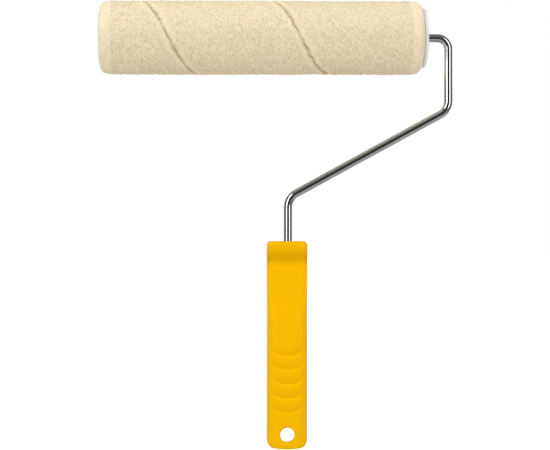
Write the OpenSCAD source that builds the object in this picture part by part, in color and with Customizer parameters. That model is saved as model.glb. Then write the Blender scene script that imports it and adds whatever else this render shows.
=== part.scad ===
// Nine-inch paint roller: wire-cage frame, slip-on pile sleeve, moulded grip.
// Origin: centre of the hang hole. +X towards the bent leg, +Z up to the sleeve.

/* [Sleeve] */
// Length of the slip-on sleeve
sleeve_len = 230; // [180:1:270]
// Diameter over the pile
nap_od = 52; // [46:0.5:60]
// Bore of the sleeve core
core_id = 38.1; // [36:0.1:40]
// Wall of the sleeve core
core_wall = 1.6; // [1:0.1:2.5]
// How far the pile stops short of the core ends
nap_inset = 0.3; // [0.3:0.1:2]
// Rounding of the pile at both ends
nap_round = 4; // [1:0.5:5]

/* [Cage] */
// Diameter of the inboard cap flange
flange_d = 42; // [40:0.5:48]
// Thickness of the inboard cap flange
flange_t = 2.4; // [1.5:0.1:4]
// Diameter of each cage wire
cage_wire_d = 2.5; // [2:0.1:3]
// Outward bow of each cage wire
cage_bow = 1; // [0.5:0.1:1.5]

/* [Rod] */
// Rod diameter
rod_d = 6; // [5:0.5:8]
// Centreline radius of every bend
bend_r = 8; // [6:0.5:12]
// Height of the roller axis over the hang hole
axle_z = 283.2; // [250:0.1:300]
// Distance of the outer leg from the grip
leg_x = 115.9; // [108:0.1:125]
// Height of the outer leg's lower corner
elbow_z = 231.6; // [220:0.1:240]
// Height of the corner above the grip
neck_z = 168.7; // [155:0.1:180]
// Sideways offset of the lower leg
neck_x = 0.8; // [0:0.1:2]
// Depth of the rod in the grip
rod_depth = 74; // [50:1:100]

/* [Grip] */
// Height of the grip's top over the hang hole
grip_top = 137.7; // [125:0.1:145]
// Grip length below the hang hole
grip_tail = 10.9; // [9:0.1:16]
// Grip width at the tail
grip_w = 29.1; // [26:0.1:32]
// Grip width at the top
grip_top_w = 28.3; // [26:0.1:32]
// Greatest grip thickness
grip_t = 24; // [22:0.5:28]
// Hang hole diameter
hole_d = 10; // [6:0.5:12]
// Height of the lowest finger groove
groove_z = 15; // [13:0.1:20]
// Spacing of the finger grooves
groove_pitch = 10.15; // [9:0.05:11]
// Number of finger grooves
grooves = 5; // [3:1:5]
// Depth of the finger grooves
groove_deep = 0.9; // [0.4:0.1:1.5]
// Height of the collar at the grip's top
collar_h = 15.4; // [12:0.1:18]

/* [Hidden] */
$fn = 96;
rod_r = rod_d / 2;
core_r = core_id / 2;
core_or = core_r + core_wall;
nap_r = nap_od / 2;
inboard_x = 96.4;
outboard_x = inboard_x - sleeve_len;
mid_x = (inboard_x + outboard_x) / 2;
slide_gap = 0.1;
plug_r = core_r - slide_gap;
run_gap = 0.05;
cage_wires = 5;
wire_r = cage_wire_d / 2;
wire_mid_r = core_r - run_gap - wire_r;
cap_in_x = inboard_x + slide_gap;
cap_face_x = cap_in_x + flange_t;
in_plug_len = 9;
in_hub_len = 12;
out_sink = 2.5;
out_face_x = outboard_x + out_sink;
out_plug_len = 13;
out_pocket = 5;
out_pocket_r = 9.5;
ring_in_r = 14.6;
hub_r = 7.4;
web_t = 2.6;
bush_r = 4.6;
bush_flange_r = 6.4;
bush_flange_t = 1.1;
bush_in_len = in_hub_len + flange_t - bush_flange_t;
bush_proud = 1.5;
bush_out_len = out_plug_len - out_pocket + bush_proud;
thrust_gap = 0.08;
washer_r = 5.8;
washer_t = 0.8;
nut_r = 6;
nut_t = 1.2;
nut_sheet = 0.6;
nut_bite = 0.9;
nut_rim = 0.5;
stop_r = 5.2;
stop_t = 2.4;
bush_out_face = out_face_x + out_pocket - bush_flange_t;
bush_out_back = out_face_x + out_pocket + bush_out_len;
rod_sink = 0.6;
rod_end_x = out_face_x + rod_sink;
wire_out_cover = 3.2;
wire_in_cover = 2.2;
wire_start_x = out_face_x + wire_out_cover;
wire_end_x = cap_in_x - wire_in_cover;
wire_span = wire_end_x - wire_start_x;
wire_mid_x = (wire_end_x + wire_start_x) / 2;
arc_r = (wire_span * wire_span / 4 + cage_bow * cage_bow) / (2 * cage_bow);
arc_half = asin(wire_span / 2 / arc_r);
cap_edge = 0.8;
out_lead = 5;
out_lead_in = 1.4;
rim_w = 3;
spider_t = 3;
spider_play = 0.7;
spider_r = core_r - spider_play;
spider_hub_r = 6.2;
spider_clear = 0.5;
spoke_w = 3.2;
slant = atan2(elbow_z - neck_z, leg_x - neck_x);
turn = 90 - slant;
tangent = bend_r * tan(turn / 2);
lap = 0.4;
elbow_swell = 0.02;
elbow_r = rod_r + elbow_swell;
rod_foot_z = grip_top - rod_depth;
lug_w = 8.4;
lug_t = 3.4;
lug_h = 12;
lip_h = 1.4;
lip_in = 1;
merge = 1;
side_r = 8;
panel_side_r = 3.2;
belly_r = 430;
belly_z = 62;
panel_belly_r = 300;
panel_z = 114;
panel_step = 1.2;
panel_t = grip_t - panel_step;
panel_foot = 82;
runout_r = 15.4;
runout_top_r = 17.2;
runout_h = 24;
tail_arc_r = 50;
tail_corner_r = 4.6;
smile_r = 21;
groove_tube = 3;
scallop_sweep = 120;
collar_smile_r = 48;
collar_tube = 3.4;
collar_deep = 1.3;
yellow = [0.98, 0.75, 0.02];
white = [0.94, 0.93, 0.95];
steel = [0.75, 0.76, 0.78];
cream = [0.93, 0.86, 0.7];
board = [0.72, 0.6, 0.45];
grey = [0.55, 0.56, 0.58];

// A turned shape: profile x is the radius, profile y runs along the axle.
module turned(x) {
  translate([x, 0, axle_z])
    rotate([0, 90, 0])
      rotate_extrude()
        children();
}

// A plain ring on the axle.
module ring(x, len, outer, inner) {
  turned(x)
    translate([inner, 0])
      square([outer - inner, len]);
}

// A rounded rectangle centred on the origin.
module round_rect(w, h, r) {
  square([w - 2 * r, h], center = true);
  square([w, h - 2 * r], center = true);
  for (sx = [-1, 1]) {
    for (sy = [-1, 1]) {
      translate([sx * (w / 2 - r), sy * (h / 2 - r)])
        circle(r);
    }
  }
}

// One bend of the rod, in the plane of the frame.
module elbow(x, z, start, sweep) {
  translate([x, 0, z])
    rotate([90, 0, 0])
      rotate_extrude(angle = sweep, start = start)
        translate([bend_r, 0])
          circle(elbow_r, $fn = 48);
}

// One straight run of the rod, lapping into the bend at each end.
module straight(from, to) {
  run = to - from;
  translate([from[0], 0, from[1]])
    rotate([0, 90 - atan2(run[1], run[0]), 0])
      cylinder(r = rod_r, h = norm(run), $fn = 48);
}

module rod() {
  uphill = [cos(slant), sin(slant)];
  neck = [neck_x, neck_z];
  knee = [leg_x, elbow_z];
  color(steel) {
    straight([rod_end_x, axle_z], [leg_x - bend_r + lap, axle_z]);
    elbow(leg_x - bend_r, axle_z - bend_r, 0, 90);
    straight([leg_x, elbow_z + tangent - lap], [leg_x, axle_z - bend_r + lap]);
    elbow(leg_x - bend_r, elbow_z + tangent, -turn, turn);
    straight(neck + uphill * (tangent - lap), knee - uphill * (tangent - lap));
    elbow(neck_x + bend_r, neck_z - tangent, 180 - turn, turn);
    straight([neck_x, rod_foot_z], [neck_x, neck_z - tangent + lap]);
    translate([neck_x - lug_w / 2, -lug_t / 2, rod_foot_z + lug_h])
      cube([lug_w, lug_t, lug_h]);
  }
}

module outer_push_nut() {
  color(steel)
    turned(bush_out_face - thrust_gap - washer_t - nut_t)
      polygon([
        [rod_r, 0], [rod_r + nut_bite, 0], [nut_r, nut_t - nut_rim],
        [nut_r, nut_t], [rod_r + nut_sheet, nut_t], [rod_r, nut_t - nut_sheet]
      ]);
}

module outer_washer() {
  color(steel)
    ring(bush_out_face - thrust_gap - washer_t, washer_t, washer_r, rod_r);
}

module inner_washer() {
  color(steel)
    ring(bush_out_back + thrust_gap, washer_t, washer_r, rod_r);
}

module stop_ring() {
  color(steel)
    ring(bush_out_back + thrust_gap + washer_t, stop_t, stop_r, rod_r);
}

// One bowed spring wire of the cage.
module cage_wire(i) {
  color(steel)
    translate([wire_mid_x, 0, axle_z])
      rotate([90 + 360 / cage_wires * (i - 1), 0, 0])
        translate([0, wire_mid_r - arc_r, 0])
          rotate_extrude(angle = 2 * arc_half, start = 90 - arc_half, $fn = 900)
            translate([arc_r, 0])
              circle(wire_r, $fn = 24);
}

module all_wires() {
  for (i = [1 : cage_wires]) {
    cage_wire(i);
  }
}

module inboard_cap() {
  color(white)
    difference() {
      turned(cap_in_x - in_hub_len)
        polygon([
          [bush_r, 0], [hub_r, 0], [hub_r, in_hub_len - web_t],
          [ring_in_r, in_hub_len - web_t], [ring_in_r, in_hub_len - in_plug_len],
          [plug_r - cap_edge, in_hub_len - in_plug_len],
          [plug_r, in_hub_len - in_plug_len + cap_edge],
          [plug_r, in_hub_len], [flange_d / 2, in_hub_len],
          [flange_d / 2, in_hub_len + flange_t - cap_edge],
          [flange_d / 2 - cap_edge, in_hub_len + flange_t],
          [ring_in_r, in_hub_len + flange_t],
          [ring_in_r - cap_edge, in_hub_len + flange_t - cap_edge],
          [hub_r + cap_edge, in_hub_len + flange_t - cap_edge],
          [hub_r, in_hub_len + flange_t],
          [bush_flange_r, in_hub_len + flange_t],
          [bush_flange_r, in_hub_len + flange_t - bush_flange_t],
          [bush_r, in_hub_len + flange_t - bush_flange_t]
        ]);
      all_wires();
    }
}

module outboard_cap() {
  color(white)
    difference() {
      turned(out_face_x)
        polygon([
          [bush_r, out_pocket], [out_pocket_r, out_pocket], [out_pocket_r, 0],
          [plug_r - out_lead_in, 0], [plug_r, out_lead], [plug_r, out_plug_len],
          [ring_in_r, out_plug_len], [ring_in_r, out_pocket + web_t],
          [hub_r, out_pocket + web_t], [hub_r, out_plug_len], [bush_r, out_plug_len]
        ]);
      all_wires();
    }
}

module spider() {
  color(white)
    translate([mid_x - spider_t / 2, 0, axle_z])
      rotate([0, 90, 0])
        linear_extrude(height = spider_t)
          difference() {
            circle(spider_r);
            difference() {
              circle(spider_r - rim_w);
              circle(spider_hub_r);
              for (i = [1 : cage_wires]) {
                rotate(180 + 360 / cage_wires * (i - 1))
                  translate([0, -spoke_w / 2])
                    square([spider_r, spoke_w]);
              }
            }
            circle(rod_r + spider_clear);
            for (i = [1 : cage_wires]) {
              rotate(180 + 360 / cage_wires * (i - 1))
                translate([wire_mid_r, 0])
                  circle(wire_r, $fn = 24);
            }
          }
}

module inboard_bushing() {
  color(grey)
    turned(cap_face_x - bush_flange_t - bush_in_len)
      polygon([
        [rod_r + run_gap, 0], [bush_r, 0], [bush_r, bush_in_len],
        [bush_flange_r, bush_in_len], [bush_flange_r, bush_in_len + bush_flange_t],
        [rod_r + run_gap, bush_in_len + bush_flange_t]
      ]);
}

module outboard_bushing() {
  color(grey)
    turned(bush_out_face)
      polygon([
        [rod_r + run_gap, 0], [bush_flange_r, 0], [bush_flange_r, bush_flange_t],
        [bush_r, bush_flange_t], [bush_r, bush_flange_t + bush_out_len],
        [rod_r + run_gap, bush_flange_t + bush_out_len]
      ]);
}

module sleeve_core() {
  color(board)
    ring(outboard_x, sleeve_len, core_or, core_r);
}

module nap() {
  len = sleeve_len - 2 * nap_inset;
  straight_len = len - 2 * nap_round;
  color(cream)
    turned(outboard_x + nap_inset)
      intersection() {
        translate([core_or, 0])
          square([nap_r - core_or, len]);
        union() {
          translate([0, nap_round])
            square([nap_r, straight_len]);
          square([nap_r - nap_round, len]);
          translate([nap_r - nap_round, nap_round])
            circle(nap_round);
          translate([nap_r - nap_round, len - nap_round])
            circle(nap_round);
        }
      }
}

// Thickness of the finger section at a height.
function belly_t(z) = grip_t - (z - belly_z) * (z - belly_z) / belly_r;

// Front outline of the grip, drawn in x and z.
module grip_outline() {
  length = grip_top + grip_tail;
  intersection() {
    polygon([
      [-grip_w / 2, -grip_tail], [grip_w / 2, -grip_tail],
      [grip_top_w / 2, grip_top], [-grip_top_w / 2, grip_top]
    ]);
    translate([0, length / 2 - grip_tail])
      round_rect(grip_w, length, tail_corner_r);
    union() {
      translate([0, tail_arc_r - grip_tail])
        circle(tail_arc_r, $fn = 180);
      translate([-grip_w, tail_arc_r - grip_tail])
        square([2 * grip_w, length]);
    }
  }
}

// Everything between two large arcs, front and back, seen from the side.
module belly(radius, z, thick) {
  intersection() {
    translate([-grip_w, radius - thick / 2, z])
      rotate([0, 90, 0])
        cylinder(r = radius, h = 2 * grip_w, $fn = 720);
    translate([-grip_w, thick / 2 - radius, z])
      rotate([0, 90, 0])
        cylinder(r = radius, h = 2 * grip_w, $fn = 720);
  }
}

// A smile-shaped scallop cut across the front and the back.
module scallop(z, smile, tube, deep, face_t) {
  for (side = [-1, 1]) {
    translate([0, side * (face_t / 2 + tube - deep), z + smile])
      rotate([90, 0, 0])
        rotate_extrude(angle = scallop_sweep, start = 270 - scallop_sweep / 2, $fn = 180)
          translate([smile, 0])
            circle(tube, $fn = 48);
  }
}

module grip_blank() {
  // Rounded finger section.
  intersection() {
    rotate([90, 0, 0])
      linear_extrude(height = 2 * grip_t, center = true)
        grip_outline();
    translate([0, 0, -grip_tail - merge])
      linear_extrude(height = grip_top + grip_tail + merge - lip_h)
        round_rect(grip_w, grip_t, side_r);
    belly(belly_r, belly_z, grip_t);
  }
  // Flatter panel below the collar.
  intersection() {
    translate([0, 0, panel_foot])
      linear_extrude(height = grip_top - lip_h - panel_foot)
        round_rect(grip_top_w, panel_t, panel_side_r);
    belly(panel_belly_r, panel_z, panel_t);
    rotate_extrude()
      polygon([
        [0, panel_foot], [runout_r, panel_foot],
        [runout_top_r, panel_foot + runout_h], [runout_top_r, grip_top], [0, grip_top]
      ]);
  }
  // Inset lip at the very top.
  translate([0, 0, grip_top - lip_h - merge])
    linear_extrude(height = lip_h + merge)
      round_rect(grip_top_w - 2 * lip_in, panel_t - 2 * lip_in, panel_side_r);
}

module grip() {
  color(yellow)
    difference() {
      grip_blank();
      for (i = [0 : grooves - 1]) {
        z = groove_z + i * groove_pitch;
        scallop(z, smile_r, groove_tube, groove_deep, belly_t(z));
      }
      scallop(grip_top - collar_h, collar_smile_r, collar_tube, collar_deep, panel_t);
      rotate([90, 0, 0])
        cylinder(r = hole_d / 2, h = 2 * grip_t, center = true);
      rod();
    }
}

grip();
rod();
outer_push_nut();
outer_washer();
inner_washer();
stop_ring();
inboard_cap();
outboard_cap();
spider();
inboard_bushing();
outboard_bushing();
cage_wire(1);  // cage_wire_1
cage_wire(2);  // cage_wire_2
cage_wire(3);  // cage_wire_3
cage_wire(4);  // cage_wire_4
cage_wire(5);  // cage_wire_5
sleeve_core();
nap();
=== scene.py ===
# %% [markdown]
# # A nine-inch paint roller
# The roller is a cream plush sleeve on a spinning wire cage. One bright bar with
# three bends carries the cage and ends inside a yellow moulded grip.
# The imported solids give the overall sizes, so this lesson measures them first and
# then builds the surfaces that need more than plain solids: the pile, the bar,
# the grip and the turned plastic caps.

# %% Load the frame and measure it
import math
import random

import bmesh
import bpy
from mathutils import Matrix, Vector, noise


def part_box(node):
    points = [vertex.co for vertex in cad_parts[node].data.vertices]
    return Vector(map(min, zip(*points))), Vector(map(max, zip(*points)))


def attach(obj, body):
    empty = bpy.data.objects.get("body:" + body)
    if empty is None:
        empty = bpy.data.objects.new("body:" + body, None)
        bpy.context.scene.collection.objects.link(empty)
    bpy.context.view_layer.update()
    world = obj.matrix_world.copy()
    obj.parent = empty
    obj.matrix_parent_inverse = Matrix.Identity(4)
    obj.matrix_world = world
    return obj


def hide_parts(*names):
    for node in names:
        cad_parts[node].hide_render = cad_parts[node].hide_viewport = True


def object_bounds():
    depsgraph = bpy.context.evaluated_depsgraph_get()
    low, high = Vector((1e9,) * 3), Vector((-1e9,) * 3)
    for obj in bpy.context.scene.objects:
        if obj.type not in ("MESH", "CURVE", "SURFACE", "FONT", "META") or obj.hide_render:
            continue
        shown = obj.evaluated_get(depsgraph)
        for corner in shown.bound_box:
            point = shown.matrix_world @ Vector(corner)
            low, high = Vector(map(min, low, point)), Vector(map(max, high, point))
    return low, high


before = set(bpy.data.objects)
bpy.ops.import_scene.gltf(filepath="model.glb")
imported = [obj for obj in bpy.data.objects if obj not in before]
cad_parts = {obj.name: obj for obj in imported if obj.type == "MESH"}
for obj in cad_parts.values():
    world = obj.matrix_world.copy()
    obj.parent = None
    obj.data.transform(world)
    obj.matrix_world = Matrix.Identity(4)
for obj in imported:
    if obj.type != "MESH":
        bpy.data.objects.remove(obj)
cad_low, cad_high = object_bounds()

MM = 0.001
rod_low, rod_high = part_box("rod")
nap_low, nap_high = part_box("nap")
core_low, core_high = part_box("sleeve_core")
grip_low, grip_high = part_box("grip")
flange_low, flange_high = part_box("inboard_cap")
tail_cap_low, tail_cap_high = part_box("outboard_cap")

axle_z = (nap_low.z + nap_high.z) / 2
nap_radius = (nap_high.z - nap_low.z) / 2
core_radius = (core_high.z - core_low.z) / 2
rod_radius = 3 * MM
print("object box in mm", [round(v / MM) for v in cad_high - cad_low])

# %% [markdown]
# ## Helpers for meshes
# Every piece is drawn with bmesh, then handed to one small function. It turns the
# bmesh into an object, makes all faces point outwards, shades it smoothly with
# sharp corners kept, and ties it to the body that it moves with.


# %% A function that finishes a piece
WELD = 1e-6
SEAM_WELD = 1e-7


def finish_piece(name, bm, material, body, replaces=(), sharp=35, weld=True):
    """Sharp is the angle in degrees above which an edge stays crisp; 0 keeps none."""
    if weld:
        bmesh.ops.remove_doubles(bm, verts=bm.verts, dist=WELD)
    bmesh.ops.recalc_face_normals(bm, faces=bm.faces)
    for face in bm.faces:
        face.smooth = True
    mesh = bpy.data.meshes.new(name)
    bm.to_mesh(mesh)
    bm.free()
    if sharp:
        mesh.set_sharp_from_angle(angle=math.radians(sharp))
    mesh.materials.append(material)
    piece = bpy.data.objects.new(name, mesh)
    bpy.context.scene.collection.objects.link(piece)
    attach(piece, body)
    if replaces:
        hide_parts(*replaces)
    print(name, "has", len(mesh.polygons), "faces")
    return piece


# %% A function that eases from 0 to 1
def smooth(value, start, end):
    t = max(0.0, min(1.0, (value - start) / (end - start)))
    return t * t * (3 - 2 * t)


# %% A function that turns an outline round the axle
CORNER_ANGLE = math.radians(25)


def turned(outline, steps=96, edge=0.0):
    """The outline is a closed list of (x, radius) pairs in metres."""
    bm = bmesh.new()
    verts = [bm.verts.new((x, 0, axle_z + radius)) for x, radius in outline]
    ring = [bm.edges.new((a, b)) for a, b in zip(verts, verts[1:] + verts[:1])]
    bmesh.ops.spin(
        bm, geom=verts + ring, cent=(0, 0, axle_z), axis=(1, 0, 0),
        angle=math.tau, steps=steps, use_merge=True,
    )
    bmesh.ops.remove_doubles(bm, verts=bm.verts, dist=SEAM_WELD)
    bmesh.ops.recalc_face_normals(bm, faces=bm.faces)
    if edge:
        corners = [e for e in bm.edges if e.calc_face_angle(0) > CORNER_ANGLE]
        bmesh.ops.bevel(
            bm, geom=corners, offset=edge, offset_type="OFFSET", affect="EDGES",
            segments=2, profile=0.5, material=-1, clamp_overlap=True,
        )
    return bm


# %% [markdown]
# ## Helpers for materials
# All the finishes start from Principled BSDF. Patterns read Object coordinates,
# which here are simply metres in the object's own frame, so a noise scale of
# 1000 gives spots about a millimetre across.


# %% Functions that start a material and add nodes to it
def new_material(name, **constants):
    material = bpy.data.materials.new(name)
    material.use_nodes = True
    shader = material.node_tree.nodes["Principled BSDF"]
    for socket, value in constants.items():
        shader.inputs[socket.replace("_", " ")].default_value = value
    return material, material.node_tree, shader


def add(tree, kind, **settings):
    node = tree.nodes.new("ShaderNode" + kind)
    for key, value in settings.items():
        if hasattr(node, key):
            setattr(node, key, value)
        else:
            node.inputs[key.replace("_", " ")].default_value = value
    return node


def metres(tree):
    return add(tree, "TexCoord").outputs["Object"]


def speckle(tree, scale, detail=3.0, roughness=0.5, stretch=None, vector=None):
    """A noise value from 0 to 1; stretch squeezes the pattern along an axis."""
    source = vector or metres(tree)
    if stretch:
        mapping = add(tree, "Mapping")
        mapping.inputs["Scale"].default_value = stretch
        tree.links.new(source, mapping.inputs["Vector"])
        source = mapping.outputs["Vector"]
    node = add(tree, "TexNoise", Scale=scale, Detail=detail, Roughness=roughness)
    tree.links.new(source, node.inputs["Vector"])
    return node.outputs["Fac"]


def ramp(tree, value, stops):
    """Colours or greys along a value; a stop is (position, colour)."""
    node = add(tree, "ValToRGB")
    band = node.color_ramp
    while len(band.elements) < len(stops):
        band.elements.new(0.5)
    for element, (place, colour) in zip(band.elements, stops):
        element.position = place
        element.color = (*colour, 1) if isinstance(colour, tuple) else (colour,) * 3 + (1,)
    tree.links.new(value, node.inputs["Fac"])
    return node.outputs["Color"]


def between(tree, value, low, high):
    """Stretches a 0 to 1 value to run from low to high."""
    node = add(tree, "MapRange")
    node.inputs["To Min"].default_value = low
    node.inputs["To Max"].default_value = high
    tree.links.new(value, node.inputs["Value"])
    return node.outputs["Result"]


def base_colour(tree, shader, value, stops):
    """Colours the surface along a value."""
    tree.links.new(ramp(tree, value, stops), shader.inputs["Base Color"])


def rough_between(tree, shader, value, low, high):
    """Lets a value vary the roughness from low to high."""
    tree.links.new(between(tree, value, low, high), shader.inputs["Roughness"])


def bumps(tree, shader, layers):
    """Stacks bump layers; a layer is (height value, strength, depth in metres)."""
    previous = None
    for height, strength, depth in layers:
        node = add(tree, "Bump", Strength=strength, Distance=depth)
        tree.links.new(height, node.inputs["Height"])
        if previous:
            tree.links.new(previous, node.inputs["Normal"])
        previous = node.outputs["Normal"]
    tree.links.new(previous, shader.inputs["Normal"])


# %% [markdown]
# ## The yellow grip plastic
# The grip is injection-moulded polypropylene: a strong warm yellow that is a
# little uneven where the melt flowed, with a soft gloss broken up by a very fine
# moulded grain. One noise tints the colour, one sets the roughness and two bump
# layers give the faint waviness and grain. A darker band near the top is painted
# shade in the hollow under the collar.

# %% Grip material
# Height of the painted shade band, measured down from the grip's top.
COVE_SHADE = 20 * MM
GLOSS_TINT = (1.0, 0.75, 0.1, 1)
grip_plastic, tree, shader = new_material("grip_plastic", IOR=1.49, Specular_IOR_Level=0.22)
shader.inputs["Specular Tint"].default_value = GLOSS_TINT
flow = speckle(tree, 28, detail=2.0, stretch=(1.0, 1.0, 0.35))
tint = ramp(tree, flow, [(0.3, (0.87, 0.452, 0.0)), (0.7, (0.91, 0.486, 0.0))])
heights = add(tree, "SeparateXYZ")
tree.links.new(metres(tree), heights.inputs[0])
cove = add(tree, "MapRange")
cove.inputs["From Min"].default_value = grip_high.z - COVE_SHADE
cove.inputs["From Max"].default_value = grip_high.z
tree.links.new(heights.outputs["Z"], cove.inputs["Value"])
# Painted shade: the yellow is darkened in a band under the collar, where the hollow is shaded.
painted_cove_shade = ramp(tree, cove.outputs["Result"], [
    (0.0, 1.0), (0.2, 0.93), (0.38, 0.84), (0.5, 0.86), (0.9, 1.0),
])
shaded = add(tree, "MixRGB", blend_type="MULTIPLY", Fac=1.0)
tree.links.new(tint, shaded.inputs["Color1"])
tree.links.new(painted_cove_shade, shaded.inputs["Color2"])
tree.links.new(shaded.outputs[0], shader.inputs["Base Color"])
wear = speckle(tree, 160, detail=5.0, roughness=0.65)
rough_between(tree, shader, wear, 0.27, 0.42)
grain = speckle(tree, 4200, detail=2.0)
waves = speckle(tree, 120, detail=1.0)
bumps(tree, shader, [(waves, 0.12, 0.0006), (grain, 0.1, 0.00008)])
print("material", grip_plastic.name)

# %% [markdown]
# ## Bright plated bar
# The bar is bent from bright drawn wire and plated, so it reflects like chrome
# but not quite perfectly: the reflections are broken by faint drawing marks and
# a thin haze. A fully metallic shader with a low, uneven roughness does this.

# %% Chrome material
chrome, tree, shader = new_material("bright_chrome", Metallic=1.0)
haze = speckle(tree, 240, detail=4.0, roughness=0.6)
base_colour(tree, shader, haze, [(0.35, (0.73, 0.735, 0.745)), (0.65, (0.84, 0.845, 0.85))])
smears = speckle(tree, 150, detail=2.0, roughness=0.5)
rough_between(tree, shader, smears, 0.03, 0.07)
dents = speckle(tree, 220, detail=1.0)
bumps(tree, shader, [(dents, 0.04, 0.00005)])
print("material", chrome.name)

# %% [markdown]
# ## Small steel parts
# The washers and the push nut are zinc plated: greyer than the bar, with tiny
# crystal patches. The cage wires are plain drawn spring steel with lines that
# run along the wire, so their pattern is squeezed along X.

# %% Zinc and spring steel
zinc, tree, shader = new_material("zinc_plate", Metallic=1.0)
patches = add(tree, "TexVoronoi", Scale=900.0)
tree.links.new(metres(tree), patches.inputs["Vector"])
base_colour(tree, shader, patches.outputs["Distance"], [
    (0.0, (0.50, 0.51, 0.53)), (0.8, (0.66, 0.665, 0.67)),
])
rough_between(tree, shader, speckle(tree, 1500), 0.28, 0.45)
bumps(tree, shader, [(speckle(tree, 2600), 0.15, 0.00003)])

spring_steel, tree, shader = new_material("spring_steel", Metallic=1.0)
lines = speckle(tree, 1800, detail=4.0, roughness=0.7, stretch=(0.03, 1.0, 1.0))
base_colour(tree, shader, lines, [(0.3, (0.56, 0.565, 0.58)), (0.7, (0.74, 0.745, 0.75))])
rough_between(tree, shader, lines, 0.18, 0.36)
bumps(tree, shader, [(lines, 0.2, 0.00003)])

# %% [markdown]
# ## White nylon, grey acetal and the sleeve tube
# The end caps are white nylon with a cool tint and a fine spark-eroded texture.
# The bushings are smoother grey acetal. The sleeve's tube is a dull white
# plastic with faint lines along its length from extrusion.

# %% Plastics of the cage and the sleeve tube
nylon, tree, shader = new_material("white_nylon", IOR=1.53)
cloud = speckle(tree, 90, detail=3.0)
base_colour(tree, shader, cloud, [(0.3, (0.70, 0.69, 0.745)), (0.7, (0.77, 0.765, 0.81))])
rough_between(tree, shader, speckle(tree, 600), 0.42, 0.58)
bumps(tree, shader, [(speckle(tree, 5200, detail=2.0), 0.22, 0.00006)])

acetal, tree, shader = new_material("grey_acetal", IOR=1.48)
base_colour(tree, shader, speckle(tree, 200), [
    (0.3, (0.30, 0.31, 0.33)), (0.7, (0.37, 0.38, 0.40)),
])
rough_between(tree, shader, speckle(tree, 900), 0.25, 0.38)
bumps(tree, shader, [(speckle(tree, 3000), 0.1, 0.00004)])

tube_plastic, tree, shader = new_material("tube_plastic", IOR=1.49)
drawn = speckle(tree, 1400, detail=3.0, stretch=(0.02, 1.0, 1.0))
base_colour(tree, shader, drawn, [(0.3, (0.66, 0.65, 0.62)), (0.7, (0.76, 0.75, 0.72))])
rough_between(tree, shader, drawn, 0.45, 0.6)
bumps(tree, shader, [(drawn, 0.25, 0.00004)])
print("materials for the small parts:", zinc.name, spring_steel.name, nylon.name, acetal.name)

# %% [markdown]
# ## The plush pile
# The cover is cut from a knitted plush strip and wound in a spiral, so its
# edges meet in a slanting seam that goes round the sleeve. The yarn is cream;
# the colour is lighter on the tips as painted light, and painted shade turns the
# seam and the gaps between tufts olive brown. The mesh below stores how deep each
# point lies in an attribute called depth, which carries this painted shade, and
# the colour follows it. Sheen gives the soft bright rim of cloth.

# %% Coordinates that follow the pile round the sleeve
STREAK_LEAN = math.radians(67)
plush, tree, shader = new_material("plush_pile", Sheen_Weight=0.2, Sheen_Roughness=0.5, IOR=1.4)
shader.inputs["Sheen Tint"].default_value = (1.0, 0.95, 0.85, 1)
parts = add(tree, "SeparateXYZ")
tree.links.new(metres(tree), parts.inputs[0])


def sum_of(first, second, first_scale, second_scale, offset=0.0):
    """first * first_scale + second * second_scale + offset, as two nodes."""
    scaled = add(tree, "Math", operation="MULTIPLY_ADD")
    scaled.inputs[1].default_value = second_scale
    scaled.inputs[2].default_value = offset
    tree.links.new(second, scaled.inputs[0])
    total = add(tree, "Math", operation="MULTIPLY_ADD")
    total.inputs[1].default_value = first_scale
    tree.links.new(first, total.inputs[0])
    tree.links.new(scaled.outputs[0], total.inputs[2])
    return total.outputs[0]


above_axle = add(tree, "Math", operation="SUBTRACT")
above_axle.inputs[1].default_value = axle_z
tree.links.new(parts.outputs["Z"], above_axle.inputs[0])
turn_node = add(tree, "Math", operation="ARCTAN2")
tree.links.new(parts.outputs["Y"], turn_node.inputs[0])
tree.links.new(above_axle.outputs[0], turn_node.inputs[1])
turn_value, along_axle = turn_node.outputs[0], parts.outputs["X"]
lean_cos, lean_sin = math.cos(STREAK_LEAN), math.sin(STREAK_LEAN)
cloth = add(tree, "CombineXYZ")
cloth_x = sum_of(along_axle, turn_value, lean_sin, lean_cos * nap_radius)
cloth_y = sum_of(along_axle, turn_value, lean_cos, -lean_sin * nap_radius)
tree.links.new(cloth_x, cloth.inputs["X"])
tree.links.new(cloth_y, cloth.inputs["Y"])
cloth_place = cloth.outputs[0]

# %% [markdown]
# ## Colours of the pile
# Close up, plush is a field of leaning tufts with darker gaps between them, and
# here that darkness is painted shade. Two stretched noises give the tufts and
# their fibres; they are mixed with the stored depth shade, and one ramp turns the
# sum into yarn colours, from pale tips (painted light) to brown gaps (painted
# shade). A slow third noise keeps the whole sleeve from looking printed.

# %% Pile material
TUFT_STRETCH = (2.0, 0.58, 1.0)
FIBRE_STRETCH = (1.5, 0.5, 1.0)
tufts = speckle(tree, 620, detail=2.0, roughness=0.6, stretch=TUFT_STRETCH, vector=cloth_place)
fibre = speckle(tree, 1900, detail=3.0, roughness=0.7, stretch=FIBRE_STRETCH, vector=cloth_place)
patch = speckle(tree, 130, detail=3.0, vector=cloth_place)
# The depth attribute is painted shade: darker in the seam and between tufts, lighter on the
# tufts' tips.
depth = add(tree, "Attribute", attribute_name="depth").outputs["Fac"]
streaks = sum_of(tufts, fibre, 0.75, 0.25)
painted_pile_shade = sum_of(between(tree, streaks, 0.74, -0.57), depth, 1.0, 1.0)
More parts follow.
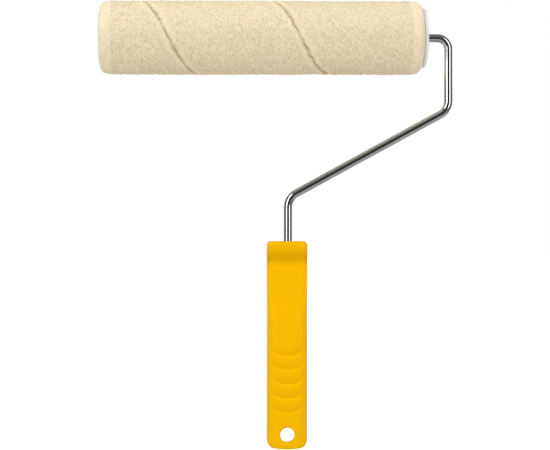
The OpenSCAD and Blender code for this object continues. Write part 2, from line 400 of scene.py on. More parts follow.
# The pale end of this ramp is painted light on the tips; the brown end is painted shade in the
# gaps and the seam.
yarn_and_painted_shade = ramp(tree, painted_pile_shade, [
    (0.0, (0.935, 0.81, 0.605)), (0.25, (0.845, 0.718, 0.495)),
    (0.5, (0.63, 0.515, 0.31)), (0.8, (0.42, 0.31, 0.15)), (1.0, (0.28, 0.20, 0.09)),
])
patch_tint = ramp(tree, patch, [(0.3, (1.0, 0.975, 0.94)), (0.7, (1.0, 1.0, 1.0))])
warm = add(tree, "MixRGB", blend_type="MULTIPLY", Fac=1.0)
tree.links.new(yarn_and_painted_shade, warm.inputs["Color1"])
tree.links.new(patch_tint, warm.inputs["Color2"])
tree.links.new(warm.outputs[0], shader.inputs["Base Color"])
rough_between(tree, shader, fibre, 0.85, 1.0)
bumps(tree, shader, [(patch, 0.25, 0.0012), (tufts, 0.9, 0.0013), (fibre, 0.5, 0.0003)])
print("material", plush.name)

# %% [markdown]
# ## The pile sleeve
# A fur of separate hairs would be far too heavy for a short plush, so the pile
# is one finely divided tube. Its outline, with rounded ends, is spun about the
# axle, and every point is then pushed in or out: low rolling swells, small
# slanting tufts, single fibres, and the spiral groove where the strip's edges
# meet. Distances are measured along the wound strip, so the tufts run on
# unbroken round the sleeve and change only at the seam.

# %% The pile's outline, spun round the axle
PILE_STEPS = 256
PILE_ROWS = 366
END_POINTS = 9
LEFT_ROUND = 4.4 * MM
RIGHT_ROUND = 5.2 * MM
SHORN = 8.5 * MM
SHORN_DROP = 0.55 * MM
SHORN_FULL = 3 * MM
SHORN_EASE = 1.5 * MM
CORE_GAP = 0.02 * MM
inner_radius = core_radius + CORE_GAP


def shorn_radius(x):
    """The pile is trimmed a little shorter towards each end of the sleeve."""
    end_gap = min(x - nap_low.x, nap_high.x - x)
    return nap_radius - SHORN_DROP * (1 - smooth(end_gap, SHORN_FULL, SHORN + SHORN_EASE))


straight_left = nap_low.x + LEFT_ROUND
straight_right = nap_high.x - RIGHT_ROUND
straight = straight_right - straight_left
rows = [straight_left + straight * i / PILE_ROWS for i in range(PILE_ROWS + 1)]
quarters = [math.pi / 2 * i / END_POINTS for i in range(END_POINTS)]
left_top, right_top = shorn_radius(rows[0]), shorn_radius(rows[-1])
pile_outline = [(nap_low.x, inner_radius)]
pile_outline += [
    (straight_left - LEFT_ROUND * math.cos(a), left_top - LEFT_ROUND * (1 - math.sin(a)))
    for a in quarters
]
pile_outline += [(x, shorn_radius(x)) for x in rows]
pile_outline += [
    (straight_right + RIGHT_ROUND * math.cos(a), right_top - RIGHT_ROUND * (1 - math.sin(a)))
    for a in reversed(quarters)
]
pile_outline += [(nap_high.x, inner_radius)]
pile = turned(pile_outline, steps=PILE_STEPS)
print("pile outline has", len(pile_outline), "points")

# %% [markdown]
# ## Shaping the tufts
# The strip's own coordinates are worked out from each point: how far along the
# strip it is, and how far from the strip's edge. Noise in those coordinates
# gives tufts that lean the same way everywhere on the cloth.

# %% Places on the strip, and the heights there
PITCH = 92.7 * MM
SEAM_AT_FRONT = 7.2 * MM
SEAM_DEPTH = 1.0 * MM
SEAM_WIDTH = 1.2 * MM
SEAM_WAVER = 1.6 * MM
SEAM_FADE_FROM, SEAM_FADE_TO = 4 * MM, 26 * MM
WANDER_SLOW = 1.3
WANDER_QUICK = 0.5
LIP_PLACE = 2.6
LIP_SPREAD = 1.5
LIP_HEIGHT = 0.22
SLANT = math.radians(4)
# A wave is (scale of its first place, scale of its second, noise layer, height).
SWELL = (45, 60, 3.1, 0.25)
CLUMP = (300, 170, 0.0, 0.25)
STREAK = (700, 230, 7.7, 0.55)
random.seed(7)


def strip_place(x, turn):
    """Turn counts from the top over the front; returns (along, from the seam)."""
    start = SEAM_AT_FRONT + PITCH * (turn / math.tau - 0.25) + SEAM_WAVER * math.cos(turn)
    winding = math.floor((x - start) / PITCH)
    return (turn + math.tau * winding) * nap_radius, x - start - PITCH * winding


def wave(kind, u, v):
    per_u, per_v, layer, height = kind
    return height * noise.noise(Vector((u * per_u, v * per_v, layer)))


def tuft_height(along, across):
    """Height of the tufts at a place on the strip, about -1 to 1."""
    u = across * math.cos(SLANT) + along * math.sin(SLANT)
    v = -across * math.sin(SLANT) + along * math.cos(SLANT)
    return wave(SWELL, along, across) + wave(CLUMP, u, v) + wave(STREAK, u, v)


def seam_shape(along, across):
    """How deep the wandering groove of the seam is, with a low lip on each side."""
    slow = noise.noise(Vector((along * 60, 5.0, 1.0)))
    quick = noise.noise(Vector((along * 260, 2.0, 1.0)))
    wander = MM * (WANDER_SLOW * slow + WANDER_QUICK * quick)
    strength = 0.75 + 0.5 * noise.noise(Vector((along * 120, 9.0, 4.0)))
    side = across if across < PITCH / 2 else across - PITCH
    gap = (side - wander) / SEAM_WIDTH
    lip = math.exp(-((abs(gap) - LIP_PLACE) / LIP_SPREAD) ** 2) * LIP_HEIGHT * MM
    return math.exp(-gap * gap) * SEAM_DEPTH * strength - lip


# %% [markdown]
# ## Moving the points
# Each point moves straight out from the axle or back towards it. The tufts grow
# calmer towards the ends, where the cloth is trimmed, and one small random draw
# for each point breaks up the smooth noise. The depth attribute, painted shade
# that darkens the seam and the low places between tufts and is lighter on high
# tufts and the trimmed ends, is written in the same loop, so the colour always
# agrees with the shape.

# %% Move the points and store their depth
BACKING = 0.3 * MM
BACKING_SHADE = 0.8
CALM_AT_END = 0.35
CALM_REACH = 9 * MM
TUFT_RISE = 0.9
FIBRE_RISE = 0.16
SHORN_BLUR = 0.8 * MM
PLAIN_SHADE, TUFT_SHADE, SEAM_SHADE, SHORN_SHADE = 0.19, 0.13, 0.46, 0.14

depth_shade_layer = pile.verts.layers.float.new("depth")
for vert in pile.verts:
    y, z = vert.co.y, vert.co.z - axle_z
    radius = math.hypot(y, z)
    if radius < core_radius + BACKING:
        vert[depth_shade_layer] = BACKING_SHADE
        continue
    turn = math.atan2(-y, z) % math.tau
    along, across = strip_place(vert.co.x, turn)
    end_gap = min(vert.co.x - nap_low.x, nap_high.x - vert.co.x)
    calm = min(1.0, CALM_AT_END + end_gap / CALM_REACH)
    tuft = tuft_height(along, across)
    groove = seam_shape(along, across) * smooth(end_gap, SEAM_FADE_FROM, SEAM_FADE_TO)
    fibre_end = random.uniform(-1, 1)
    push = calm * (tuft * TUFT_RISE + FIBRE_RISE * fibre_end) * MM - groove
    grown = (radius + push) / radius
    vert.co.y *= grown
    vert.co.z = axle_z + z * grown
    shorn = 1 - smooth(end_gap, SHORN - SHORN_BLUR, SHORN + SHORN_BLUR)
    # Painted shade: darker in the seam groove and where the tufts are low, lighter on high tufts
    # and the trimmed ends.
    shade = PLAIN_SHADE - TUFT_SHADE * tuft * calm + groove / SEAM_DEPTH * SEAM_SHADE
    vert[depth_shade_layer] = max(0.0, min(1.0, shade - SHORN_SHADE * shorn))

finish_piece(
    "nap_pile", pile, plush, "sleeve", replaces=["nap"], sharp=0, weld=False,
)

# %% [markdown]
# ## The bent bar
# A real frame is one length of bar put through a bender three times. The mesh is
# made in the same order: a ring of points at the foot inside the grip is
# extruded along each straight and spun round each bend's centre, so every bend
# is a true arc and the bar keeps its thickness all the way.

# %% Bend the bar
BEND_RADIUS = 8 * MM
SOFT_BEND = 11.5 * MM
KNEE_Z = 231.6 * MM
NECK_Z = 168.7 * MM
NECK_X = 0.8 * MM
TIP = 0.6 * MM
TIP_TAPER = 0.8
SIDES = 40
BEND_STEPS = 18
leg_x = rod_high.x - rod_radius
slant = math.atan2(KNEE_Z - NECK_Z, leg_x - NECK_X)
turn_angle = math.pi / 2 - slant
tangent = SOFT_BEND * math.tan(turn_angle / 2)

bar = bmesh.new()
bmesh.ops.create_circle(
    bar, segments=SIDES, radius=rod_radius, cap_ends=False,
    matrix=Matrix.Translation((NECK_X, 0, rod_low.z)),
)
front = list(bar.edges)


def extrude_to(edges, shift):
    grown = bmesh.ops.extrude_edge_only(bar, edges=edges)["geom"]
    moved = [g for g in grown if isinstance(g, bmesh.types.BMVert)]
    bmesh.ops.translate(bar, verts=moved, vec=shift)
    edges_made = [g for g in grown if isinstance(g, bmesh.types.BMEdge)]
    return [e for e in edges_made if all(v in moved for v in e.verts)]


def bend(edges, centre, angle):
    verts = list(dict.fromkeys(v for e in edges for v in e.verts))
    result = bmesh.ops.spin(
        bar, geom=verts + edges, cent=centre, axis=(0, 1, 0), angle=angle, steps=BEND_STEPS,
    )
    return [g for g in result["geom_last"] if isinstance(g, bmesh.types.BMEdge)]


neck_start = NECK_Z - tangent
run_length = math.hypot(KNEE_Z - NECK_Z, leg_x - NECK_X) - 2 * tangent
uphill = Vector((math.cos(slant), 0, math.sin(slant)))
front = extrude_to(front, (0, 0, neck_start - rod_low.z))
front = bend(front, (NECK_X + SOFT_BEND, 0, neck_start), turn_angle)
front = extrude_to(front, uphill * run_length)
front = bend(front, (leg_x - SOFT_BEND, 0, KNEE_Z + tangent), -turn_angle)
front = extrude_to(front, (0, 0, axle_z - BEND_RADIUS - KNEE_Z - tangent))
front = bend(front, (leg_x - BEND_RADIUS, 0, axle_z - BEND_RADIUS), -math.pi / 2)
front = extrude_to(front, (rod_low.x + TIP - (leg_x - BEND_RADIUS), 0, 0))
tip = bmesh.ops.extrude_edge_only(bar, edges=front)["geom"]
tip_verts = [g for g in tip if isinstance(g, bmesh.types.BMVert)]
bmesh.ops.translate(bar, verts=tip_verts, vec=(-TIP, 0, 0))
bmesh.ops.scale(
    bar, verts=tip_verts, vec=(1, TIP_TAPER, TIP_TAPER),
    space=Matrix.Translation((0, 0, -axle_z)),
)
bmesh.ops.holes_fill(bar, edges=bar.edges)
finish_piece("bent_bar", bar, chrome, "frame", replaces=["rod"], sharp=40)
print("slanting run is", round(run_length / MM, 1), "mm long")

# %% [markdown]
# ## The moulded grip
# The grip is one smooth moulding: a round finger part that flattens into a
# panel, a collar round the top, and five shallow finger scallops. It could be
# cut with booleans, but sharp cuts never look moulded. Here a globe of rings
# and columns is pulled into shape instead: every ring becomes a rounded
# rectangle whose size and corner radius change along the grip, and the front
# and back are dented by smooth smile-shaped valleys.

# %% Grip sizes along its length
HALF_WIDTH_TAIL = 14.55 * MM
HALF_WIDTH_TOP = 14.15 * MM
CORNER_SOFT = 8.2 * MM
CORNER_CRISP = 3.0 * MM
BELLY_HALF = (grip_high.y - grip_low.y) / 2
BELLY_RADIUS = 430 * MM
BELLY_Z = 62 * MM
PANEL_RADIUS = 400 * MM
PANEL_Z = 114 * MM
COLLAR = 14.4 * MM
COLLAR_CREASE = grip_high.z - COLLAR
COVE_DEPTH = 3.3 * MM
COVE_POWER = 1.8
CREASE_RADIUS = 90 * MM
CREASE_FOOT = 6 * MM
PANEL_DEPTH = 2.0 * MM
CRISP_FROM, CRISP_TO = 80 * MM, 114 * MM
PANEL_INSET = 0.6 * MM
PANEL_FROM, PANEL_TO = 84 * MM, 104 * MM
HOLLOW_FROM, HOLLOW_TO = 80 * MM, 106 * MM
CORNER_MARGIN = 1.0 * MM
TAIL_ARC = 50 * MM
TAIL_CORNER = 4.0 * MM
GROOVE_LOW = 16.6 * MM
GROOVE_PITCH = 10.15 * MM
GROOVES = 5
SCALLOP_DEPTH = 1.4 * MM
SCALLOP_FLAT, SCALLOP_EDGE = 8 * MM, 12.2 * MM
SMILE_RADIUS = 20 * MM
VALLEY_ABOVE, VALLEY_BELOW = 5.5 * MM, 3.0 * MM


def half_width(z):
    t = (z - grip_low.z) / (grip_high.z - grip_low.z)
    return HALF_WIDTH_TAIL + (HALF_WIDTH_TOP - HALF_WIDTH_TAIL) * t


def half_depth(z):
    belly = BELLY_HALF - (z - BELLY_Z) ** 2 / (2 * BELLY_RADIUS)
    panel = BELLY_HALF - PANEL_INSET - (z - PANEL_Z) ** 2 / (2 * PANEL_RADIUS)
    blend = smooth(z, PANEL_FROM, PANEL_TO)
    return belly + (panel - belly) * blend


def corner_radius(z):
    crisper = smooth(z, CRISP_FROM, CRISP_TO)
    radius = CORNER_SOFT + (CORNER_CRISP - CORNER_SOFT) * crisper
    return min(radius, half_depth(z) - CORNER_MARGIN)


def tail_edge(x):
    """Height of the grip's rounded tail at a distance x from its middle."""
    arc = TAIL_ARC - math.sqrt(TAIL_ARC ** 2 - x * x)
    past = max(0.0, abs(x) - (HALF_WIDTH_TAIL - TAIL_CORNER))
    return arc + TAIL_CORNER - math.sqrt(max(0.0, TAIL_CORNER ** 2 - past * past))


# %% The scallops and the collar's crease
def valley(distance, above, below):
    """A sharp crease at 0 that fades out above and below it."""
    if distance > 0:
        return max(0.0, 1 - distance / above) ** 2
    return max(0.0, 1 + distance / below) ** 2


def dent(x, z):
    """How deep the front and back are pressed in at a point."""
    smile = x * x / (2 * SMILE_RADIUS)
    fade = 1 - smooth(abs(x), SCALLOP_FLAT, SCALLOP_EDGE)
    depth = 0.0
    for i in range(GROOVES):
        distance = z - (GROOVE_LOW + i * GROOVE_PITCH + smile)
        depth = max(depth, valley(distance, VALLEY_ABOVE, VALLEY_BELOW))
    above_crease = z - (COLLAR_CREASE + x * x / (2 * CREASE_RADIUS))
    if above_crease > 0:
        height_left = max(0.0, 1 - above_crease / COLLAR)
        overhang = COVE_DEPTH * smooth(height_left ** COVE_POWER, 0.0, 1.0)
    else:
        foot = (COVE_DEPTH - PANEL_DEPTH) * (1 - smooth(-above_crease, 0.0, CREASE_FOOT))
        overhang = (PANEL_DEPTH + foot) * smooth(z, HOLLOW_FROM, HOLLOW_TO)
    return SCALLOP_DEPTH * depth * fade + overhang


# %% One ring of the grip
SIDE_PART, CORNER_PART, FACE_PART = 5, 9, 14
QUARTER = SIDE_PART + CORNER_PART + FACE_PART


def quarter_point(q, a, b, r):
    """A point on a quarter of the ring: half width a, half depth b, corner radius r."""
    if q <= SIDE_PART:
        return a, (b - r) * q / SIDE_PART
    if q <= SIDE_PART + CORNER_PART:
        angle = math.pi / 2 * (q - SIDE_PART) / CORNER_PART
        return a - r + r * math.cos(angle), b - r + r * math.sin(angle)
    return (a - r) * (QUARTER - q) / FACE_PART, b


def ring_point(column, a, b, r):
    """The point of a rounded rectangle for a column counted round from +X."""
    part, q = divmod(column, QUARTER)
    if part % 2:
        q = QUARTER - q
    x, y = quarter_point(q, a, b, r)
    return (x if part in (0, 3) else -x), (y if part in (0, 1) else -y)


# %% The list of rings from tail to top
TAIL_ROUND = 2.2 * MM
CAP_RINGS = 9
ROUND_RINGS = 7
SIDE_RINGS = 262
LIP_DROP, LIP_INSET = 2.2, 1.7
TOP_DISH = 0.5 * MM
CORNER_LEAST = 0.5 * MM
tail_cap = [("tail", (i + 1) / (CAP_RINGS + 1), 0.0) for i in range(CAP_RINGS)]
turn_angles = [math.pi / 2 * i / ROUND_RINGS for i in range(ROUND_RINGS + 1)]
tail_turn = [("turn", TAIL_ROUND * (1 - math.sin(a)), 0.0) for a in turn_angles]
sides = [("side", i / SIDE_RINGS, 0.0) for i in range(1, SIDE_RINGS)]
lip = [("lip", inset * MM, drop * MM) for inset, drop in [
    (0.0, LIP_DROP), (0.1, 1.8), (0.35, 1.5), (0.75, 1.35), (0.95, 1.2), (1.0, 0.9),
    (1.0, 0.5), (1.12, 0.2), (1.35, 0.05), (LIP_INSET, 0.0)]]
top_cap = [("top", 1 - (i + 1) / (CAP_RINGS + 1), 0.0) for i in range(CAP_RINGS)]
rings = tail_cap + tail_turn + sides + lip + top_cap
print("grip has", len(rings), "rings of", 4 * QUARTER, "columns")


# %% Place a point of the grip
def grip_point(ring, column):
    """A ring is (kind, share of its part or inset, drop below the top)."""
    kind, first, second = ring
    base = grip_low.z
    if kind in ("tail", "turn"):
        inset = TAIL_ROUND if kind == "tail" else first
        a, b = half_width(base) - inset, half_depth(base) - inset
        x, y = ring_point(column, a, b, corner_radius(base) - inset)
        lift = 0.0
        if kind == "tail":
            x, y = x * first, y * first
        else:
            left = max(0.0, TAIL_ROUND ** 2 - (TAIL_ROUND - inset) ** 2)
            lift = TAIL_ROUND - math.sqrt(left)
        return x, y, base + tail_edge(x) + lift
    if kind == "side":
        x, y = ring_point(column, half_width(base), half_depth(base), corner_radius(base))
        low = base + tail_edge(x) + TAIL_ROUND
        z = low + (grip_high.z - LIP_DROP * MM - low) * first
        x, y = ring_point(column, half_width(z), half_depth(z), corner_radius(z))
        return x, y, z
    inset = first if kind == "lip" else LIP_INSET * MM
    z = grip_high.z - (second if kind == "lip" else 0.0)
    a, b = half_width(z) - inset, half_depth(z) - inset
    x, y = ring_point(column, a, b, max(CORNER_LEAST, CORNER_CRISP - inset))
    if kind == "top":
        x, y = x * first + NECK_X * (1 - first), y * first
    return x, y, z


# %% Pull the globe into a grip
CROWN = 0.55 * MM
CROWN_FROM, CROWN_TO = 80 * MM, 100 * MM
CROWN_LOSS = 0.7
FACE_FROM, FACE_TO = 2.5 * MM, 0.5 * MM
COLUMNS = 4 * QUARTER
LAST_ROW = len(rings) + 1

grip_mesh = bmesh.new()
bmesh.ops.create_uvsphere(grip_mesh, u_segments=COLUMNS, v_segments=LAST_ROW, radius=1.0)
for vert in grip_mesh.verts:
    polar = math.acos(max(-1.0, min(1.0, vert.co.z)))
    row = LAST_ROW - round(polar / math.pi * LAST_ROW)
    if row == 0:
        vert.co = (0, 0, grip_low.z)
        continue
    if row == LAST_ROW:
        vert.co = (NECK_X, 0, grip_high.z - TOP_DISH)
        continue
    turn = math.atan2(vert.co.y, vert.co.x) % math.tau
    column = round(turn / math.tau * COLUMNS) % COLUMNS
    x, y, z = grip_point(rings[row - 1], column)
    if rings[row - 1][0] in ("side", "lip"):
        flatter = 1 - CROWN_LOSS * smooth(z, CROWN_FROM, CROWN_TO)
        crown = CROWN * flatter * (x / HALF_WIDTH_TAIL) ** 2
        facing = smooth(abs(y), half_depth(z) - FACE_FROM, half_depth(z) - FACE_TO)
        y -= math.copysign((dent(x, z) + crown) * facing, y)
    vert.co = (x, y, z)
bmesh.ops.recalc_face_normals(grip_mesh, faces=grip_mesh.faces)
print("grip mesh has", len(grip_mesh.verts), "points")

# %% [markdown]
# ## The hang hole
# The hole lets the roller hang from a hook. A cutter shaped like a reel, with
# flared ends, is spun and taken away with a Boolean modifier. The flare meets
# the surface at a gentle angle, which leaves a rounded rim as a mould would, and
# the hole widens towards the back, as the pin that moulds it must slide out.

# %% Cut the hole and finish the grip
HOLE_RADIUS = 5 * MM
RIM = 0.9 * MM
RIM_STEPS = 8
DRAFT = 1.6 * MM
REEL_PAST = 3 * MM
RIM_PROUD = 0.05 * MM
rim_y = half_depth(0) + RIM_PROUD


def flare(radius):
    """Points of a rounded rim, from the face of the grip into the hole."""
    angles = [math.pi / 2 * i / RIM_STEPS for i in range(RIM_STEPS + 1)]
    return [(rim_y - RIM + RIM * math.cos(a), radius + RIM - RIM * math.sin(a)) for a in angles]


def half_reel(radius):
    """Half the reel's outline, from its axis outside the grip into the hole."""
    return [(rim_y + REEL_PAST, 0.0), (rim_y + REEL_PAST, radius + RIM)] + flare(radius)


reel_points = half_reel(HOLE_RADIUS + DRAFT)
reel_points += [(-y, r) for y, r in reversed(half_reel(HOLE_RADIUS))]

reel = bmesh.new()
reel_verts = [reel.verts.new((r, y, 0)) for y, r in reel_points]
reel_edges = [reel.edges.new(pair) for pair in zip(reel_verts, reel_verts[1:])]
bmesh.ops.spin(
    reel, geom=reel_verts + reel_edges, cent=(0, 0, 0), axis=(0, 1, 0),
    angle=math.tau, steps=72, use_merge=True,
)
bmesh.ops.remove_doubles(reel, verts=reel.verts, dist=SEAM_WELD)
bmesh.ops.recalc_face_normals(reel, faces=reel.faces)
reel_mesh = bpy.data.meshes.new("reel")
reel.to_mesh(reel_mesh)
reel.free()
cutter = bpy.data.objects.new("reel", reel_mesh)
bpy.context.scene.collection.objects.link(cutter)

grip = finish_piece(
    "moulded_grip", grip_mesh, grip_plastic, "frame",
    replaces=["grip"], sharp=0, weld=False,
)
hole = grip.modifiers.new("hang_hole", "BOOLEAN")
hole.operation = "DIFFERENCE"
hole.solver = "EXACT"
hole.object = cutter
bpy.context.view_layer.update()
shaped = grip.evaluated_get(bpy.context.evaluated_depsgraph_get())
grip_with_hole = bpy.data.meshes.new_from_object(shaped)
grip.modifiers.clear()
grip.data = grip_with_hole
bpy.data.objects.remove(cutter)
for polygon in grip.data.polygons:
    polygon.use_smooth = True
print("grip with its hole has", len(grip.data.polygons), "faces")

# %% [markdown]
# ## The end caps
# The inboard cap's flange stops the sleeve and is the white rim beside the bent
# leg. The outboard cap is tapered so that a new sleeve slides on easily, and its
# pocket hides the end of the bar. Both are turned outlines with a ring-shaped
# hollow in the face, stiffened by ribs, as moulded nylon caps have.

# %% Ribs for a cap
RIBS = 10
RIB_EDGE = 0.12 * MM
RIB_SINK = 0.1 * MM
RIB_SHY = 0.25 * MM


def add_ribs(bm, low_x, high_x, inner, outer, thick):
    """Radial ribs between two radii, joined to a cap's mesh."""
    for i in range(RIBS):
        made = bmesh.ops.create_cube(bm, size=1.0)["verts"]
        bmesh.ops.scale(bm, verts=made, vec=(high_x - low_x, thick, outer - inner))
        bmesh.ops.translate(bm, verts=made, vec=((low_x + high_x) / 2, 0, (inner + outer) / 2))
        about_x = Matrix.Rotation(math.tau * i / RIBS, 3, "X")
        bmesh.ops.rotate(bm, verts=made, cent=(0, 0, 0), matrix=about_x)
        bmesh.ops.translate(bm, verts=made, vec=(0, 0, axle_z))
        edges = list(dict.fromkeys(e for v in made for e in v.link_edges))
        bmesh.ops.bevel(
            bm, geom=edges, offset=RIB_EDGE, offset_type="OFFSET", affect="EDGES",
            segments=1, profile=0.5, material=-1, clamp_overlap=True,
        )


# %% The inboard cap
FLANGE = 2.4 * MM
PLUG_LENGTH = 9 * MM
HUB_LENGTH = 12 * MM
HUB = 7.4 * MM
BUSH = 4.6 * MM
BUSH_FLANGE = 6.4 * MM
BUSH_FLANGE_DEEP = 1.1 * MM
RING_INNER = 14.6 * MM
WEB = 2.6 * MM
HOLLOW = 1.7 * MM
CHAMFER = 0.8 * MM
DRAW = 0.3 * MM
face = flange_high.x
flange_radius = (flange_high.z - flange_low.z) / 2
plug = (tail_cap_high.z - tail_cap_low.z) / 2
seat = face - FLANGE
hollow_in, hollow_out = HUB + 0.7 * MM, RING_INNER + 1.2 * MM
inboard = turned([
    (seat - HUB_LENGTH, BUSH), (seat - HUB_LENGTH, HUB), (seat - WEB, HUB),
    (seat - WEB, RING_INNER), (seat - PLUG_LENGTH, RING_INNER),
    (seat - PLUG_LENGTH, plug - CHAMFER), (seat - PLUG_LENGTH + CHAMFER, plug), (seat, plug),
    (seat, flange_radius), (face, flange_radius), (face, hollow_out),
    (face - HOLLOW, hollow_out - DRAW), (face - HOLLOW, hollow_in + DRAW),
    (face, hollow_in), (face, BUSH_FLANGE),
    (face - BUSH_FLANGE_DEEP, BUSH_FLANGE), (face - BUSH_FLANGE_DEEP, BUSH),
], edge=0.35 * MM)
add_ribs(
    inboard, face - HOLLOW - RIB_SINK, face - RIB_SHY,
    inner=hollow_in - RIB_SINK, outer=hollow_out - RIB_SINK, thick=1.1 * MM,
)
finish_piece(
    "inboard_end_cap", inboard, nylon, "cage",
    replaces=["inboard_cap"], weld=False,
)

# %% The outboard cap
POCKET = 9.5 * MM
POCKET_DEEP = 5 * MM
OUT_LENGTH = 13 * MM
TAPER = 5 * MM
NOSE = 1.4 * MM
tail = tail_cap_low.x
hollow_in, hollow_out = POCKET + 1.6 * MM, plug - 3.3 * MM
outboard = turned([
    (tail + POCKET_DEEP, BUSH), (tail + POCKET_DEEP, POCKET), (tail, POCKET),
    (tail, hollow_in), (tail + HOLLOW, hollow_in + DRAW),
    (tail + HOLLOW, hollow_out - DRAW), (tail, hollow_out), (tail, plug - NOSE),
    (tail + TAPER, plug), (tail + OUT_LENGTH, plug), (tail + OUT_LENGTH, RING_INNER),
    (tail + POCKET_DEEP + WEB, RING_INNER), (tail + POCKET_DEEP + WEB, HUB),
    (tail + OUT_LENGTH, HUB), (tail + OUT_LENGTH, BUSH),
], edge=0.3 * MM)
add_ribs(
    outboard, tail + RIB_SHY, tail + HOLLOW + RIB_SINK,
    inner=hollow_in - RIB_SINK, outer=hollow_out, thick=1.0 * MM,
)
finish_piece(
    "outboard_end_cap", outboard, nylon, "cage",
    replaces=["outboard_cap"], weld=False,
)

# %% [markdown]
# ## Plain CAD pieces keep their solids
# The wires, spider, bushings, washers, push nut, stop ring and sleeve tube have
# the right shape already. They only need the finishes made above.

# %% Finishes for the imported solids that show
finishes = {
    "spider": nylon, "sleeve_core": tube_plastic,
    "inboard_bushing": acetal, "outboard_bushing": acetal,
    "outer_push_nut": zinc, "outer_washer": zinc, "inner_washer": zinc, "stop_ring": zinc,
}
finishes.update({f"cage_wire_{i}": spring_steel for i in range(1, 6)})
for node_name, material in finishes.items():
    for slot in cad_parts[node_name].material_slots:
        slot.material = material
print("finished", len(finishes), "packed pieces")

# %% [markdown]
# ## Floor, light and camera
# The roller hangs in the air above a plain pale floor, which also glows with
# painted light: faintly near the roller and brightly far off. Two upright soft
# boxes stand either side of the camera and draw the long white streaks in the
# bright bar. A small one hangs overhead. It and the floor are left out of
# reflections, because they would fill the bar's dark bands.

# %% Floor
FLOOR_DROP = 0.75
FLOOR_RADIUS = 40.0
GLOW_FROM, GLOW_TO = 2.0, 5.5
floor_mesh = bpy.data.meshes.new("floor")
floor_bm = bmesh.new()
bmesh.ops.create_circle(
    floor_bm, cap_ends=True, segments=96, radius=FLOOR_RADIUS,
    matrix=Matrix.Translation((0, 0, grip_low.z - FLOOR_DROP)),
)
floor_bm.to_mesh(floor_mesh)
floor_bm.free()
floor = bpy.data.objects.new("floor", floor_mesh)
bpy.context.scene.collection.objects.link(floor)
floor_paint_and_glow, tree, shader = new_material("floor_paint_and_glow", Roughness=0.9)
base_colour(tree, shader, speckle(tree, 3.0), [(0.3, 0.78), (0.7, 0.82)])
away = add(tree, "VectorMath", operation="LENGTH")
tree.links.new(metres(tree), away.inputs[0])
spread = add(tree, "MapRange")
spread.inputs["From Min"].default_value = GLOW_FROM
spread.inputs["From Max"].default_value = GLOW_TO
tree.links.new(away.outputs["Value"], spread.inputs["Value"])
# Painted light: the floor glows, dim near the roller and brighter far away.
glow = between(tree, spread.outputs["Result"], 0.12, 0.8)
tree.links.new(glow, shader.inputs["Emission Strength"])
shader.inputs["Emission Color"].default_value = (1, 1, 1, 1)
floor_mesh.materials.append(floor_paint_and_glow)
floor.visible_glossy = False


# %% Lamps
def soft_lamp(name, place, aim, width, height, power):
    """A soft box of a width and height in metres; power is in watts."""
    data = bpy.data.lights.new(name, "AREA")
    data.shape = "RECTANGLE"
    data.size, data.size_y = width, height
    data.energy = power
    lamp = bpy.data.objects.new(name, data)
    lamp.location = place
    towards = Vector(aim) - Vector(place)
    lamp.rotation_euler = towards.to_track_quat("-Z", "Y").to_euler()
    bpy.context.scene.collection.objects.link(lamp)
    return lamp


middle = (cad_low + cad_high) / 2
key = soft_lamp("key", (-0.25, -0.35, 1.6), middle, 0.8, 0.8, 7)
key.visible_glossy = False
soft_lamp("left", (-1.0, -1.15, 0.62), middle, 0.55, 1.2, 6.5)
soft_lamp("right", (1.0, -1.15, 0.62), middle, 0.5, 1.2, 4.5)

# %% [markdown]
# ## The world
# Three kinds of ray see three skies. The camera sees plain white. Rough surfaces
# are lit by a soft grey that is brighter above. The bright bar mirrors a studio
# that is dark round the camera, dim at the sides and white behind, with a grey
# band below. The shades follow the direction of the ray.

# %% World
world = bpy.data.worlds.new("studio")
bpy.context.scene.world = world
world.use_nodes = True
sky = world.node_tree
sky.nodes.clear()
direction = sky.nodes.new("ShaderNodeTexCoord")
split = sky.nodes.new("ShaderNodeSeparateXYZ")
sky.links.new(direction.outputs["Generated"], split.inputs["Vector"])


def sky_shades(socket, stops):
    """Greys along one axis of the sky, from -1 to 1."""
    spread_out = sky.nodes.new("ShaderNodeMapRange")
    spread_out.inputs["From Min"].default_value = -1.0
    sky.links.new(socket, spread_out.inputs["Value"])
    shifted = [((place + 1) / 2, grey) for place, grey in stops]
    return ramp(sky, spread_out.outputs["Result"], shifted)


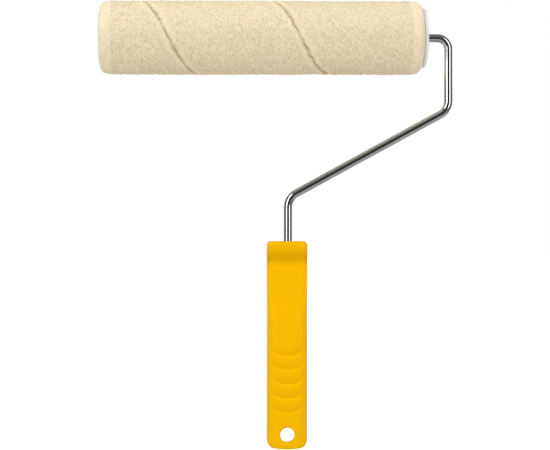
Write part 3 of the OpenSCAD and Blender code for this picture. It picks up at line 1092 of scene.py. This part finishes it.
facing = sky_shades(split.outputs["Y"], [
    (-1.0, 0.03), (-0.86, 0.045), (-0.76, 0.24), (-0.5, 0.14),
    (0.0, 0.10), (0.6, 0.2), (0.88, 0.75), (1.0, 1.0),
])
below = sky_shades(split.outputs["Z"], [
    (-1.0, 0.06), (-0.75, 0.24), (-0.6, 0.24), (-0.4, 0.04), (0.0, 0.0),
])
mirrored = sky.nodes.new("ShaderNodeVectorMath")
sky.links.new(facing, mirrored.inputs[0])
sky.links.new(below, mirrored.inputs[1])
height = sky_shades(split.outputs["Z"], [(-1.0, 0.12), (-0.2, 0.36), (0.3, 0.56), (1.0, 0.8)])
front = sky_shades(split.outputs["Y"], [(-1.0, 1.0), (0.0, 0.95), (1.0, 0.6)])
soft_grey = sky.nodes.new("ShaderNodeVectorMath")
soft_grey.operation = "MULTIPLY"
sky.links.new(height, soft_grey.inputs[0])
sky.links.new(front, soft_grey.inputs[1])


def sky_light(colour):
    """Light of a plain grey, or of the colours that a node gives."""
    shade = sky.nodes.new("ShaderNodeBackground")
    if isinstance(colour, float):
        shade.inputs["Color"].default_value = (colour, colour, colour, 1)
    else:
        sky.links.new(colour, shade.inputs["Color"])
    return shade.outputs[0]


def choose_by(test, otherwise, when_true):
    """Picks one light or the other by the kind of ray."""
    mix = sky.nodes.new("ShaderNodeMixShader")
    sky.links.new(test, mix.inputs["Fac"])
    sky.links.new(otherwise, mix.inputs[1])
    sky.links.new(when_true, mix.inputs[2])
    return mix.outputs[0]


ray = sky.nodes.new("ShaderNodeLightPath")
light_given = sky_light(soft_grey.outputs[0])
light_mirrored = sky_light(mirrored.outputs[0])
lit = choose_by(ray.outputs["Is Glossy Ray"], light_given, light_mirrored)
shown = choose_by(ray.outputs["Is Camera Ray"], lit, sky_light(1.0))
sky_out = sky.nodes.new("ShaderNodeOutputWorld")
sky.links.new(shown, sky_out.inputs["Surface"])

# %% [markdown]
# ## The camera
# The camera is level and stands a metre away, to the left of the grip, so it
# sees a little of the sleeve's left end and none of the face of its right end.
# It is turned one degree, and a small sideways shift of the lens frames the
# rest without leaning the roller's long lines.

# %% Camera
DISTANCE = 1.0
TO_THE_LEFT = 60 * MM
EYE_HEIGHT = 149.3 * MM
YAW = math.radians(-1)
LENS = 91.5
SENSOR = 36.0
SIDE_SHIFT = 0.0866
camera_data = bpy.data.cameras.new("camera")
camera_data.lens = LENS
camera_data.sensor_width = SENSOR
camera_data.shift_x = SIDE_SHIFT
camera = bpy.data.objects.new("camera", camera_data)
camera.location = (-TO_THE_LEFT, -DISTANCE, EYE_HEIGHT)
camera.rotation_euler = (math.pi / 2, 0, YAW)
bpy.context.scene.collection.objects.link(camera)
bpy.context.scene.camera = camera
bpy.context.scene.view_settings.view_transform = "Standard"
bpy.context.scene.view_settings.look = "None"
